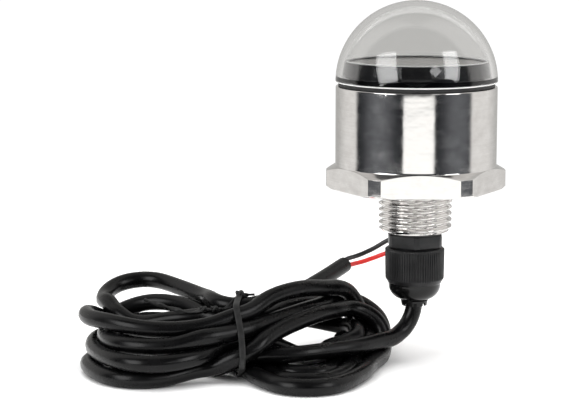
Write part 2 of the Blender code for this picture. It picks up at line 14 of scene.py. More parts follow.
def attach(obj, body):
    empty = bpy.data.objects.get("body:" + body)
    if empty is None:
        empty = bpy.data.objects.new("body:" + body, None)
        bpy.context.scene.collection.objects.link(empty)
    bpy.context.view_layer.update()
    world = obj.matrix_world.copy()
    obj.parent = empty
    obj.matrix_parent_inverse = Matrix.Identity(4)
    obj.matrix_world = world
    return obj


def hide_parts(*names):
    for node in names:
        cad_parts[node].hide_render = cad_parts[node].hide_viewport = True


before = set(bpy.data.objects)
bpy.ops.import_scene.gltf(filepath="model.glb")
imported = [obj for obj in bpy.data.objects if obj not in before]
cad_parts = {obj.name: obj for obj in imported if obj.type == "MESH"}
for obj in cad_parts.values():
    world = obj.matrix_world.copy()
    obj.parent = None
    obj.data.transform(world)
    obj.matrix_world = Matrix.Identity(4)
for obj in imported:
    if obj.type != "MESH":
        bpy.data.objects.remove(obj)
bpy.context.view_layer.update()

MM = 0.001

# The housing, in mm.
APOTHEM = 23.0
TURNED_RADIUS = 25.5
BARREL_RADIUS = 22.9
BARREL_TOP = 29.0
CHAMFER_SLOPE = math.tan(math.radians(30))
FLANGE_CORNER_TOP = 5.1
FLANGE_CORNER_FOOT = 0.6
THREAD_RADIUS = 10.48
THREAD_DEPTH = 1.16
THREAD_PITCH = 1.814
STEM_LENGTH = 12.5
LENS_BORE_RADIUS = 20.6
SHELF_Z = 19.2
CAVITY_RADIUS = 17.5
CAVITY_FLOOR_Z = 8.5
WIRE_BORE_RADIUS = 4.2
GLAND_BORE_RADIUS = 6.2
GLAND_BORE_TOP_Z = -4.6

# The lens, in mm.
DOME_RADIUS = 22.95
DOME_WALL = 1.6
DOME_CENTRE_Z = 30.2
DOME_EDGE_Z = 30.1
SKIRT_RADIUS = 20.3
SKIRT_WALL = 2.0
SKIRT_FOOT_Z = BARREL_TOP - 3.4
# A thin white ring on the black bezel's rim, a painted highlight: its radius and z.
BEZEL_HIGHLIGHT_RING = (20.05, 36.1)  # radius and z

# The gland, in mm.
GLAND_HEX_TOP_Z = -13.3
NUT_TOP_Z = -17.3
NUT_RADIUS = 8.55
NUT_GRIP_END_Z = -26.3
NUT_CHAMFER_END_Z = -27.6
NUT_CAP_RADIUS = 7.5
NUT_MOUTH_Z = -32.5
NUT_MOUTH_RADIUS = 3.6

# The free cable, in mm.
FLOOR_Z = -50.0
CABLE_RADIUS = 2.4
WIRE_RADIUS = 0.7
TIE_X = -49.0
TIE_STRAND = 0.52  # radius


# Node trees.


class Nodes:
    """A short way to write a material's nodes; coordinates are the object's own, in millimetres.

    A noise's scale is then roughly its grains per millimetre.
    """

    def __init__(self, name):
        self.material = bpy.data.materials.new(name)
        self.material.use_nodes = True
        self.tree = self.material.node_tree
        self.shader = self.tree.nodes["Principled BSDF"]

    def set(self, **values):
        for key, value in values.items():
            socket = self.shader.inputs[key.replace("_", " ")]
            if isinstance(value, bpy.types.NodeSocket):
                self.tree.links.new(value, socket)
            elif isinstance(value, tuple):
                socket.default_value = (*value, 1.0)
            else:
                socket.default_value = value
        return self

    def add(self, kind, inputs=None, **settings):
        node = self.tree.nodes.new(kind)
        for key, value in settings.items():
            setattr(node, key, value)
        for key, value in (inputs or {}).items():
            if isinstance(value, bpy.types.NodeSocket):
                self.tree.links.new(value, node.inputs[key])
            else:
                node.inputs[key].default_value = value
        return node

    def place(self, stretch=(1, 1, 1)):
        where = self.add("ShaderNodeTexCoord").outputs["Object"]
        scale = [value / MM for value in stretch]
        return self.add("ShaderNodeMapping", {"Vector": where, "Scale": scale}).outputs["Vector"]

    def noise(self, scale, stretch=(1, 1, 1), detail=3.0, rough=0.55):
        inputs = {"Vector": self.place(stretch), "Scale": scale, "Detail": detail, "Roughness": rough}
        return self.add("ShaderNodeTexNoise", inputs).outputs["Fac"]

    def ramp(self, source, *stops):
        node = self.add("ShaderNodeValToRGB", {"Fac": source})
        elements = node.color_ramp.elements
        while len(elements) < len(stops):
            elements.new(0.5)
        for element, (position, colour) in zip(elements, stops):
            element.position = position
            element.color = (*colour, 1.0)
        return node.outputs["Color"]

    def span(self, source, low, high, start=0.3, end=0.7):
        inputs = {"Value": source, "From Min": start, "From Max": end, "To Min": low, "To Max": high}
        return self.add("ShaderNodeMapRange", inputs).outputs["Result"]

    def math(self, operation, a, b):
        node = self.add("ShaderNodeMath", operation=operation)
        for socket, value in zip(node.inputs, (a, b)):
            if isinstance(value, bpy.types.NodeSocket):
                self.tree.links.new(value, socket)
            else:
                socket.default_value = value
        return node.outputs["Value"]

    def bump(self, *layers):
        """Each layer is (height socket, depth in mm); returns the bent normal."""
        normal = None
        for height, depth in layers:
            inputs = {"Height": height, "Strength": 1.0, "Distance": depth * MM}
            if normal is not None:
                inputs["Normal"] = normal
            normal = self.add("ShaderNodeBump", inputs).outputs["Normal"]
        return normal


def mottled(name, dark, light, roughness, grain=9.0, depth=0.004, **extra):
    """A moulded or coated surface: patchy colour and roughness, and a fine grain in relief."""
    nodes = Nodes(name)
    patches = nodes.noise(0.35, detail=4.0)
    fine = nodes.noise(grain, detail=2.0)
    low, high = roughness
    return nodes.set(
        Base_Color=nodes.ramp(patches, (0.35, dark), (0.65, light)),
        Roughness=nodes.span(patches, high, low),
        Normal=nodes.bump((fine, depth)),
        **extra,
    ).material


def turned_steel(name):
    """Polished stainless steel with the lathe's fine level marks and faint smears."""
    nodes = Nodes(name)
    smears = nodes.noise(0.22, (1, 1, 1.6), 5.0)
    marks = nodes.noise(1.0, (0.05, 0.05, 9.0), 3.0, 0.7)
    waves = nodes.noise(1.0, (0.16, 0.16, 0.30), 2.0)
    both = nodes.math("ADD", nodes.math("MULTIPLY", smears, 0.6), nodes.math("MULTIPLY", marks, 0.4))
    return nodes.set(
        Metallic=1.0,
        Base_Color=nodes.ramp(both, (0.38, (0.57, 0.555, 0.54)), (0.62, (0.66, 0.65, 0.635))),
        Roughness=nodes.span(both, 0.05, 0.16, 0.38, 0.64),
        Normal=nodes.bump((waves, 0.030), (marks, 0.0012)),
    ).material


def satin_metal(name, dark, light, roughness):
    """Satin metal with a fine grain in its colour, gloss and relief."""
    nodes = Nodes(name)
    grain = nodes.noise(2.2, detail=4.0)
    low, high = roughness
    return nodes.set(
        Metallic=1.0,
        Base_Color=nodes.ramp(grain, (0.35, dark), (0.65, light)),
        Roughness=nodes.span(grain, low, high),
        Normal=nodes.bump((grain, 0.01)),
    ).material


def clear_acrylic(name):
    """Clear plastic with a trace of haze in patches."""
    nodes = Nodes(name)
    film = nodes.noise(0.12, detail=3.0)
    return nodes.set(
        Base_Color=nodes.ramp(film, (0.3, (0.975, 0.975, 0.97)), (0.7, (1.0, 1.0, 1.0))),
        Roughness=nodes.span(film, 0.0, 0.02),
        IOR=1.49,
        Transmission_Weight=1.0,
    ).material


def frosted_acrylic(name):
    """A grey-brown frosted plate, glossy, with faint patches."""
    nodes = Nodes(name)
    patches = nodes.noise(0.25, detail=4.0)
    fine = nodes.noise(5.0)
    return nodes.set(
        Base_Color=nodes.ramp(patches, (0.35, (0.19, 0.175, 0.155)), (0.65, (0.25, 0.235, 0.215))),
        Roughness=nodes.span(fine, 0.14, 0.22),
        Normal=nodes.bump((fine, 0.004)),
    ).material


def circuit_board(name):
    """Black solder mask over copper tracks, which show as slightly raised lighter lines."""
    nodes = Nodes(name)
    cells = nodes.add(
        "ShaderNodeTexVoronoi",
        {"Vector": nodes.place(), "Scale": 0.55},
        feature="DISTANCE_TO_EDGE",
        distance="CHEBYCHEV",
    ).outputs["Distance"]
    tracks = nodes.span(cells, 1.0, 0.0, 0.08, 0.16)
    return nodes.set(
        Base_Color=nodes.ramp(tracks, (0.0, (0.010, 0.011, 0.012)), (1.0, (0.028, 0.032, 0.034))),
        Roughness=nodes.span(nodes.noise(1.5), 0.28, 0.42),
        Normal=nodes.bump((tracks, 0.02)),
    ).material


def led_phosphor(name):
    """Yellow phosphor with fine grains."""
    nodes = Nodes(name)
    grains = nodes.noise(6.0)
    return nodes.set(
        Base_Color=nodes.ramp(grains, (0.3, (0.80, 0.62, 0.16)), (0.7, (0.90, 0.76, 0.30))),
        Roughness=nodes.span(grains, 0.35, 0.5),
        Normal=nodes.bump((grains, 0.01)),
    ).material


def jacket_material(name):
    """Black PVC: a soft gloss in faint patches, and a fine skin in relief."""
    nodes = Nodes(name)
    haze = nodes.noise(0.16, detail=4.0)
    skin = nodes.noise(3.5, detail=3.0)
    return nodes.set(
        Base_Color=nodes.ramp(haze, (0.35, (0.0015, 0.0015, 0.0016)), (0.7, (0.0032, 0.0032, 0.0035))),
        Roughness=nodes.span(haze, 0.22, 0.32),
        Specular_IOR_Level=0.20,
        Normal=nodes.bump((skin, 0.012)),
    ).material


def make_finishes():
    """Every finish; a mottled one gives two colours, its roughness range, and its grain's scale and depth."""
    nylon_dark, nylon_light = (0.007, 0.007, 0.0075), (0.013, 0.013, 0.0135)
    return {
        "steel": turned_steel("stainless_steel"),
        "acrylic": clear_acrylic("clear_acrylic"),
        "rubber": mottled("black_rubber", (0.006, 0.006, 0.006), (0.012, 0.012, 0.012), (0.5, 0.65)),
        "nylon": mottled(
            "black_nylon", nylon_dark, nylon_light, (0.36, 0.5), 6.0, 0.01, Specular_IOR_Level=0.3
        ),
        "gloss_nylon": mottled(
            "black_nylon_glossy", (0.003,) * 3, (0.005,) * 3, (0.14, 0.22), 2.0, 0.004, Specular_IOR_Level=0.3
        ),
        "tie": mottled(
            "tie_plastic", (0.010,) * 3, (0.020,) * 3, (0.36, 0.5), 4.0, 0.02, Specular_IOR_Level=0.25
        ),
        "diffuser": frosted_acrylic("frosted_acrylic"),
        # A near-white finish: a painted highlight on the dome's foot edge and on the bezel's rim.
        "painted_highlight": mottled(
            "white_painted_highlight", (0.80, 0.80, 0.79), (0.92, 0.92, 0.91), (0.22, 0.36), 2.0, 0.004
        ),
        "jacket": jacket_material("cable_jacket"),
        "red": mottled("red_insulation", (0.66, 0.016, 0.012), (0.78, 0.026, 0.020), (0.28, 0.4), 2.0, 0.01),
        "black": mottled(
            "black_insulation", (0.008, 0.008, 0.008), (0.014, 0.014, 0.015), (0.3, 0.42), 2.0, 0.01
        ),
        "copper": satin_metal("tinned_copper", (0.60, 0.57, 0.54), (0.78, 0.76, 0.73), (0.22, 0.38)),
        "aluminium": satin_metal("aluminium", (0.62, 0.62, 0.63), (0.76, 0.76, 0.77), (0.3, 0.42)),
        "board": circuit_board("black_circuit_board"),
        "led": led_phosphor("led_phosphor"),
        "ferrite": mottled("ferrite", (0.03, 0.03, 0.033), (0.07, 0.07, 0.075), (0.5, 0.7), 5.0, 0.02),
    }


# Meshes.


def smoothstep(value):
    """Eases from 0 to 1 as the value goes from 0 to 1."""
    value = np.clip(value, 0.0, 1.0)
    return value * value * (3 - 2 * value)


def arc(centre, radius, start, end, steps):
    """(radius, z) points of a round stretch of an outline; degrees from the outward side towards +z."""
    turns = np.radians(np.linspace(start, end, steps + 1))
    return [(centre[0] + radius * math.cos(t), centre[1] + radius * math.sin(t)) for t in turns]


def link(name, data, finish, body):
    """Puts a piece in the scene with its finish, riding on its body."""
    data.materials.append(finish)
    obj = bpy.data.objects.new(name, data)
    bpy.context.scene.collection.objects.link(obj)
    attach(obj, body)
    return obj


def finish_mesh(name, bm, finish, body, sharp=35):
    """Makes the piece from its bmesh, shaded smooth up to the sharp angle in degrees."""
    bmesh.ops.remove_doubles(bm, verts=bm.verts, dist=0.0004 * MM)
    bmesh.ops.recalc_face_normals(bm, faces=bm.faces)
    mesh = bpy.data.meshes.new(name)
    bm.to_mesh(mesh)
    bm.free()
    mesh.shade_smooth()
    mesh.set_sharp_from_angle(angle=math.radians(sharp))
    obj = link(name, mesh, finish, body)
    weighted = obj.modifiers.new("even_normals", "WEIGHTED_NORMAL")
    weighted.keep_sharp = True
    return obj


def ringed(name, rows, angles, finish, body, sharp=35):
    """A closed body of revolution: rows of (radius, z) in mm, each a number or one value per angle."""
    bm = bmesh.new()
    loops = []
    for radius, z in rows:
        radius = np.broadcast_to(radius, angles.shape) * MM
        z = np.broadcast_to(z, angles.shape) * MM
        loops.append([bm.verts.new(p) for p in zip(radius * np.cos(angles), radius * np.sin(angles), z)])
    open_ended = np.max(rows[0][0]) == 0
    following = loops[1:] if open_ended else loops[1:] + loops[:1]
    for low, high in zip(loops, following):
        for index in range(len(low)):
            after = (index + 1) % len(low)
            bm.faces.new((low[index], low[after], high[after], high[index]))
    return finish_mesh(name, bm, finish, body, sharp)


def even_angles(count):
    """Angles evenly round a circle, in radians."""
    return np.linspace(0, 2 * math.pi, count, endpoint=False)


def hexagon_angles(edge, steps_flat, first_flat=-90.0):
    """Angles round a hexagon whose corners are turned: close together at each corner's two edges."""
    half_sector, tight = 30.0, 0.22
    middle_of_corner = edge + (half_sector - edge) / 2
    corner = [-half_sector, -middle_of_corner, -edge - tight, -edge + tight]
    flat = list(np.linspace(-edge + tight, edge - tight, steps_flat + 1))[1:]
    sector = corner + flat + [edge + tight, middle_of_corner]
    return np.radians([first_flat + 60 * k + angle for k in range(6) for angle in sector])


def hexagon_radius(angles, apothem, turned_radius, first_flat=-90.0):
    """The hexagon's radius at each angle, no larger than the radius its corners are turned to."""
    sector = math.radians(60)
    from_flat = (angles - math.radians(first_flat) + sector / 2) % sector - sector / 2
    return np.minimum(apothem / np.cos(from_flat), turned_radius)


# The housing.


def thread_rows(angles, rows_per_pitch=14):
    """The stem's thread, foot last: round crests and roots, faded in at the top, chamfered at the foot."""
    count = round(STEM_LENGTH / THREAD_PITCH * rows_per_pitch)
    core = THREAD_RADIUS - THREAD_DEPTH
    rows = []
    for z in np.linspace(-0.02, -STEM_LENGTH, count + 1):
        phase = (z / THREAD_PITCH - angles / (2 * math.pi)) % 1.0
        wave = smoothstep(1.16 * np.abs(2 * phase - 1) - 0.08)
        fade = min(1.0, -z / THREAD_PITCH)
        crest_limit = core + (z + STEM_LENGTH) * THREAD_DEPTH
        rows.append((np.minimum(core + THREAD_DEPTH * wave * fade, crest_limit), z))
    return rows


def make_housing(finishes):
    """The barrel and hexagon in one grid, from the rim down the outside and back up the bore."""
    edge = math.degrees(math.acos(APOTHEM / TURNED_RADIUS))
    angles = hexagon_angles(edge, 34)
    side = hexagon_radius(angles, APOTHEM, TURNED_RADIUS)
    cone_top = FLANGE_CORNER_TOP + (TURNED_RADIUS - BARREL_RADIUS) * CHAMFER_SLOPE
    side_top = FLANGE_CORNER_TOP + (TURNED_RADIUS - side) * CHAMFER_SLOPE
    foot_radius = TURNED_RADIUS - FLANGE_CORNER_FOOT / CHAMFER_SLOPE
    side_foot = np.maximum(0.0, FLANGE_CORNER_FOOT - (TURNED_RADIUS - side) * CHAMFER_SLOPE)
    soft, rim_round, cone_step = 0.07, 0.32, 0.03
    relief, relief_depth, neck = 10.98, 0.5, 9.62
    rows = [(LENS_BORE_RADIUS, BARREL_TOP), (LENS_BORE_RADIUS + 0.1, BARREL_TOP)]
    rows += [(BARREL_RADIUS - 0.6, BARREL_TOP)]
    rows += arc((BARREL_RADIUS - rim_round, BARREL_TOP - rim_round), rim_round, 90, 0, 4)
    rows += [(BARREL_RADIUS, z) for z in np.linspace(BARREL_TOP - 1.4, cone_top + 0.5, 12)]
    rows += [(BARREL_RADIUS, cone_top + 0.08), (BARREL_RADIUS + cone_step, cone_top)]
    for share in (0.25, 0.5, 0.75):
        radius = BARREL_RADIUS + cone_step + (side - soft - BARREL_RADIUS - cone_step) * share
        rows.append((radius, FLANGE_CORNER_TOP + (TURNED_RADIUS - radius) * CHAMFER_SLOPE))
    rows += [(side - soft, side_top + soft * CHAMFER_SLOPE), (side - soft * 0.15, side_top - soft * 0.15)]
    rows += [(side, side_top - soft), (side, side_foot + 2.0), (side, side_foot + soft)]
    rows += [(side - soft * 0.4, side_foot + 0.005), (np.minimum(side - soft, foot_radius), 0.0)]
    rows += [(18.0, 0.0), (relief + 0.07, 0.0), (relief, 0.06), (relief, relief_depth)]
    rows += [(neck, relief_depth), (neck, 0.0)]
    rows += thread_rows(angles)
    rows += [(GLAND_BORE_RADIUS + 1.2, -STEM_LENGTH), (GLAND_BORE_RADIUS + 0.1, -STEM_LENGTH)]
    rows += [(GLAND_BORE_RADIUS, -STEM_LENGTH + 0.1), (GLAND_BORE_RADIUS, GLAND_BORE_TOP_Z)]
    rows += [(WIRE_BORE_RADIUS, GLAND_BORE_TOP_Z), (WIRE_BORE_RADIUS, CAVITY_FLOOR_Z)]
    rows += [(CAVITY_RADIUS, CAVITY_FLOOR_Z), (CAVITY_RADIUS, SHELF_Z), (LENS_BORE_RADIUS, SHELF_Z)]
    housing = ringed("housing_body", rows, angles, finishes["steel"], "light")
    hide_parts("housing")


# The lens.


def make_lens(finishes):
    """The clear dome with its skirt in the barrel; a pale band on its foot edge and a thin white ring at the
    bezel's rim are painted highlights.
    """
    edge, highlight_band_height, skirt_bevel = 0.55, 0.4, 0.2
    outer = arc((0.0, DOME_CENTRE_Z), DOME_RADIUS, 90, 1, 44)
    rows = [(0.0, outer[0][1])] + outer[1:]
    rows += arc((DOME_RADIUS - edge, DOME_EDGE_Z + edge), edge, 0, -90, 6)
    rows += [(SKIRT_RADIUS + 0.15, DOME_EDGE_Z), (SKIRT_RADIUS, DOME_EDGE_Z - 0.15)]
    rows += [(SKIRT_RADIUS, SKIRT_FOOT_Z + skirt_bevel), (SKIRT_RADIUS - skirt_bevel, SKIRT_FOOT_Z)]
    skirt_inner = SKIRT_RADIUS - SKIRT_WALL
    rows += [(skirt_inner + skirt_bevel, SKIRT_FOOT_Z), (skirt_inner, SKIRT_FOOT_Z + skirt_bevel)]
    rows += [(skirt_inner, DOME_EDGE_Z + 0.3)]
    inner = arc((0.0, DOME_CENTRE_Z), DOME_RADIUS - DOME_WALL, 4, 90, 40)
    rows += inner[:-1] + [(0.0, inner[-1][1])]
    lens = ringed("lens", rows, even_angles(144), finishes["acrylic"], "light")
    # The outermost low faces of the dome's foot edge get the near-white finish: a painted highlight.
    lens.data.materials.append(finishes["painted_highlight"])
    for face in lens.data.polygons:
        low = face.center.z < (DOME_EDGE_Z + highlight_band_height) * MM
        if low and face.center.xy.length > (DOME_RADIUS - edge) * MM:
            face.material_index = 1
    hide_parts("lens_dome")
    # A thin white ring along the bezel's rim: a painted highlight, not a part.
    radius, z = BEZEL_HIGHLIGHT_RING
    half_thickness = 0.18
    rim = [(radius * math.cos(turn), radius * math.sin(turn), z) for turn in even_angles(96)]
    curve_piece("bezel_painted_highlight", rim, half_thickness, finishes["painted_highlight"], "light", 3, True)


# The gland.


def make_gland_body(finishes):
    """The nylon body: its hexagon has rounded corners and a chamfered foot."""
    apothem, turned_radius, first_flat = 7.5, 8.25, -120.0
    edge = math.degrees(math.acos(apothem / turned_radius))
    angles = hexagon_angles(edge, 14, first_flat)
    side = hexagon_radius(angles, apothem, turned_radius, first_flat)
    top, foot = GLAND_HEX_TOP_Z, NUT_TOP_Z + 0.3
    plug, plug_top = 5.9, -5.6
    collar, collar_foot = 6.7, -25.5
    seal_bore, seal_bore_top, cable_bore = 4.9, -18.0, 2.7
    rows = [(plug, plug_top), (plug, top - 0.9), (plug + 0.5, top), (side - 0.5, top)]
    rows += [(side - 0.12, top - 0.1), (side, top - 0.32), (side, (top + foot) / 2), (side, foot + 0.4)]
    rows += [(side - 0.25, foot + 0.06), (side - 0.6, foot), (collar, foot), (collar, collar_foot)]
    rows += [(seal_bore, collar_foot), (seal_bore, seal_bore_top), (cable_bore, seal_bore_top)]
    rows += [(cable_bore, plug_top)]
    body = ringed("gland_hexagon", rows, angles, finishes["nylon"], "light", 45)
    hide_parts("gland_body")


def make_gland_nut(finishes):
    """The dome nut: fine upright ribs on its grip, and a smooth round cap with the cable's mouth."""
    ribs, per_rib, depth = 72, 6, 0.26
    corner, insert_bore, thread_bore = 4.6, 5.9, 7.0
    insert_foot, insert_top, thread_end = -29.2, -27.2, -26.6
    angles = even_angles(ribs * per_rib)
    groove = smoothstep(0.5 + 0.9 * np.cos(angles * ribs))
    top, foot = NUT_TOP_Z, NUT_GRIP_END_Z
    rows = [(thread_bore, top), (NUT_RADIUS - 0.75, top), (NUT_RADIUS - 0.5, top - 0.08)]
    rows += [(NUT_RADIUS - 0.32 - depth * (1 - groove) * 0.2, top - 0.25)]
    for share, full in ((0.06, 0.8), (0.12, 1.0), (0.5, 1.0), (0.9, 1.0), (0.96, 0.85)):
        radius = NUT_RADIUS - 0.02 - 0.12 * share - depth * (1 - groove) * full
        rows.append((radius, top + (foot - top) * share))
    rows += [(NUT_RADIUS - 0.2 - depth * (1 - groove) * 0.3, foot), (NUT_RADIUS - 0.42, foot - 0.2)]
    rows += [(NUT_CAP_RADIUS + 0.15, NUT_CHAMFER_END_Z + 0.16), (NUT_CAP_RADIUS, NUT_CHAMFER_END_Z)]
    rows += arc((NUT_CAP_RADIUS - corner, NUT_MOUTH_Z + corner), corner, 0, -75, 14)
    rows += [(NUT_MOUTH_RADIUS + 0.12, NUT_MOUTH_Z), (NUT_MOUTH_RADIUS, NUT_MOUTH_Z + 0.14)]
    rows += [(NUT_MOUTH_RADIUS, NUT_MOUTH_Z + 1.5), (insert_bore, insert_foot), (insert_bore, insert_top)]
    rows += [(thread_bore, thread_end)]
    nut = ringed("gland_dome_nut", rows, angles, finishes["nylon"], "nut", 50)
    nut.data.materials.append(finishes["gloss_nylon"])
    cap_top = (NUT_CHAMFER_END_Z + 0.1) * MM
    for face in nut.data.polygons:
        if face.center.z < cap_top:
            face.material_index = 1
    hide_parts("gland_nut")


# The cable: a drawn route, relaxed so that its passes lie beside and on each other.


def pass_at_tie(y, z, towards_left=True):
    """A pass of the cable through the tie, along X."""
    half_run = 2.5
    points = [(TIE_X + half_run, y, z), (TIE_X - half_run, y, z)]
    return points if towards_left else points[::-1]


LEAD = [
    (0.0, 0.0, -32.3), (0.0, 0.0, -33.2), (-0.3, -0.2, -35.6), (-1.1, -0.8, -38.0), (-2.4, -1.7, -40.1),
    (-4.1, -3.0, -41.7), (-6.6, -4.9, -42.8),
]
TAIL = [(-26.6, 21.4, -31.3), (-23.0, 26.6, -30.1), (-19.2, 32.0, -28.7)]
REST_Z = FLOOR_Z + CABLE_RADIUS

ROUTE = [
    *LEAD, (-10.5, -8.4, -43.0), (-15.2, -13, -42.9), (-24.4, -20, -42.8), (-33.4, -25.3, -42.8),
    (-40.6, -26.3, -43.8),
    *pass_at_tie(-23.6, -46.5),  # the lowest near pass, then the left lobe on the floor
    (-57, -20.5, -47.4), (-66, -12, REST_Z), (-76, -6, REST_Z), (-85, -5, REST_Z), (-91, -9, REST_Z),
    (-92, -17, REST_Z), (-87.5, -28, REST_Z), (-80, -34.8, REST_Z), (-72.5, -34.5, REST_Z),
    (-65.5, -31.5, -46.9), (-57.5, -28, -44.5),
    *pass_at_tie(-25.9, -42.3, False),  # right lobe, over and down to the near side
    (-41.4, -22, -37.6), (-36.5, -18, -36.1), (-30.9, -13, -35), (-25.8, -8, -34.4), (-21, -3, -35.2),
    (-16.7, 2, -37.1), (-12.6, 4, -39.7), (-10.2, 3, -42.1), (-9.6, -1, -44), (-10.2, -6.5, -46.4),
    (-12.5, -13.5, REST_Z), (-16.0, -23.5, REST_Z), (-19.8, -32.3, REST_Z), (-24.5, -38.8, REST_Z),
    (-30.5, -41.8, REST_Z), (-36.5, -39, REST_Z), (-41.2, -32, REST_Z), (-45, -24.5, -47.2),
    *pass_at_tie(-18.8, -46.5),  # left lobe, second layer
    (-57, -12, -45.2), (-66, -1, -44.2), (-76, 5, -43.5), (-85, 3, -42.8), (-90, -4, -42.7),
    (-91.2, -12, -42.7), (-88.8, -22, -42.7), (-84.3, -31, -42.7), (-79.2, -36.1, -42.7),
    (-72.9, -37.3, -42.7), (-67, -35, -42.5), (-61, -31.5, -41.5), (-55, -26, -40.6),
    *pass_at_tie(-21.5, -39.9, False),  # right lobe, the small inner turn
    (-43, -18, -41), (-37.5, -15.5, -43), (-32, -15, -46.2), (-25.5, -14.2, -45), (-20, -10.8, -43.4),
    (-17.2, -4, -42.2), (-18.6, 2.2, -41.6), (-23.2, 6.4, -41.2), (-29, 6.4, -40.3), (-35, 3, -39),
    (-42, -5, -37.6),
    *pass_at_tie(-12.3, -37.0),  # left lobe, the long upper turn
    (-57.3, -8, -35.4), (-64.1, -2, -34.7), (-71, 3, -34.4), (-76.1, 5.2, -34.5), (-81.1, 5.4, -35.6),
    (-86.5, 3.8, -36.8), (-91, -1.5, -36.2), (-93.6, -9, -34.9), (-91.5, -16.5, -34.7),
    (-86.7, -22, -34.2), (-80, -26, -34.9), (-73.7, -27, -35.4), (-67.5, -27, -35.5), (-61.3, -26, -35),
    (-55.1, -24, -34),
    *pass_at_tie(-21.5, -32.2, False),  # right lobe, over the top and down to the floor
    (-43.8, -18, -29.8), (-38.9, -14, -28.5), (-34, -10, -27.9), (-29.3, -6, -28.2), (-25.4, -2, -29.4),
    (-21.4, 2, -31.3), (-17.8, 5, -33.4), (-15.2, 6, -36.4), (-14.2, 5, -40), (-14.2, 2, -43),
    (-14.8, -2.5, -45.8), (-16.2, -8, -47.3), (-18.3, -15, REST_Z), (-20.6, -22.5, REST_Z),
    (-23.6, -30, REST_Z), (-27.6, -35.4, REST_Z), (-32.4, -36.8, REST_Z), (-36.8, -33.5, REST_Z),
    (-41, -27, REST_Z), (-45.2, -20, -47.2),
    *pass_at_tie(-14.0, -46.5),  # left lobe, the far turn on the floor
    (-54, 0.5, REST_Z), (-58, 9.5, REST_Z), (-63.5, 16.5, REST_Z), (-71, 20, REST_Z), (-79, 19.5, REST_Z),
    (-85.5, 14.5, REST_Z), (-87, 8, REST_Z), (-84, 2.5, REST_Z), (-78, 0, REST_Z), (-71, -1.5, REST_Z),
    (-65, -6, -47), (-57.5, -10.5, -44.3),
    *pass_at_tie(-12.0, -42.0, False),  # right lobe, the inner turn on the floor
    (-44, -13.5, -44), (-41, -18.5, -46.4), (-38.6, -24.5, REST_Z), (-34.6, -29.6, REST_Z),
    (-29.8, -30, REST_Z), (-26, -24.6, REST_Z), (-23.2, -16.5, REST_Z), (-20.8, -9, REST_Z),
    (-18.7, -2.5, -47), (-17.4, 3, -45), (-16.9, 7.5, -41.8), (-17.9, 9.3, -38.6), (-20.8, 7.2, -36.2),
    (-25.4, 0.5, -34.6), (-30.8, -8, -34), (-36.5, -14, -34.6), (-41.4, -19, -35.1),
    *pass_at_tie(-24.8, -36.2),  # left lobe, third layer
    (-56.5, -28, -37.6), (-64.1, -31, -38.4), (-71.8, -32, -39.1), (-77.6, -31, -39.2),
    (-82.5, -28, -39.2), (-86.3, -22, -39.5), (-87.9, -14, -39.8), (-86.5, -5.5, -40), (-81.5, 1, -39.5),
    (-74, 3, -39.3), (-66, -1.5, -39.8), (-57, -9.5, -40.4),
    *pass_at_tie(-16.7, -41.0, False),  # right lobe, the outermost turn
    (-43, -12, -43.5), (-36, -9.5, -46.8), (-28, -8.5, REST_Z), (-21, -6.5, REST_Z), (-14.5, -3.5, -47.5),
    (-10.6, 2, -46.5), (-9.3, 8, -43.8), (-10.2, 13, -40.6), (-13.0, 15, -38.4), (-16.4, 14, -36.9),
    (-20, 11, -35.7), (-23.9, 7, -34.9), (-27.2, 3, -34.2), (-30.8, -2, -33.5), (-35.2, -6, -33.6),
    (-41.5, -11.5, -34.4),
    *pass_at_tie(-17.0, -35.6),  # left lobe, the last turn, back over the top
    (-58.7, -13, -34.8), (-65.2, -10, -35.9), (-71.8, -8, -36.8), (-80.2, -6, -38.4), (-84.7, -3, -37.5),
    (-87.8, 2, -36.3), (-90.1, 9, -34.2), (-87.2, 16, -31.5), (-81.4, 18, -30.6), (-76, 16, -30.4),
    (-70.3, 12, -31), (-64.6, 5, -31.4), (-58.6, -3, -32),
    *pass_at_tie(-12.6, -32.1, False),  # and the tail, out to the far side
    (-44, -7, -32), (-39, 1.5, -32.8), (-34.5, 9, -33), (-31.4, 14.5, -32.7), *TAIL,
]

WIRES = {
    "black": [
        (-19.5, 32.4, -27.7), (-18.5, 33.8, -27.3), (-14.4, 35.6, -26.3), (-10.0, 35.9, -24.3),
        (-6.4, 35.2, -22.0), (-1.5, 33.6, -19.6), (3.5, 32.0, -18.2), (6.3, 27.8, -17.9),
    ],
    "red": [
        (-18.5, 32.3, -29.4), (-17.4, 33.7, -29.1), (-13.8, 35.0, -28.4), (-10.2, 35.2, -27.2),
        (-6.6, 34.6, -25.7), (-1.5, 33.0, -23.7), (3.5, 31.4, -22.4), (6.5, 26.0, -21.6),
    ],
}


def smooth_route(points, spacing):
    """Evenly spaced points along a centripetal Catmull-Rom curve through the given ones."""
    given = np.array(points, float)
    padded = np.vstack([2 * given[0] - given[1], given, 2 * given[-1] - given[-2]])
    fine = []
    for a, b, c, d in zip(padded, padded[1:], padded[2:], padded[3:]):
        knots = np.cumsum([0.0] + [math.sqrt(np.linalg.norm(q - p)) for p, q in ((a, b), (b, c), (c, d))])
        t0, t1, t2, t3 = knots
        t = np.linspace(t1, t2, 12, endpoint=False)[:, None]
        ab = ((t1 - t) * a + (t - t0) * b) / (t1 - t0)
        bc = ((t2 - t) * b + (t - t1) * c) / (t2 - t1)
        cd = ((t3 - t) * c + (t - t2) * d) / (t3 - t2)
        abc = ((t2 - t) * ab + (t - t0) * bc) / (t2 - t0)
        bcd = ((t3 - t) * bc + (t - t1) * cd) / (t3 - t1)
        fine.append(((t2 - t) * abc + (t - t1) * bcd) / (t2 - t1))
    fine = np.vstack([*fine, given[-1]])
    along = np.concatenate([[0], np.cumsum(np.linalg.norm(np.diff(fine, axis=0), axis=1))])
    at = np.linspace(0, along[-1], max(2, round(along[-1] / spacing) + 1))
    return np.stack([np.interp(at, along, fine[:, k]) for k in range(3)], axis=1)


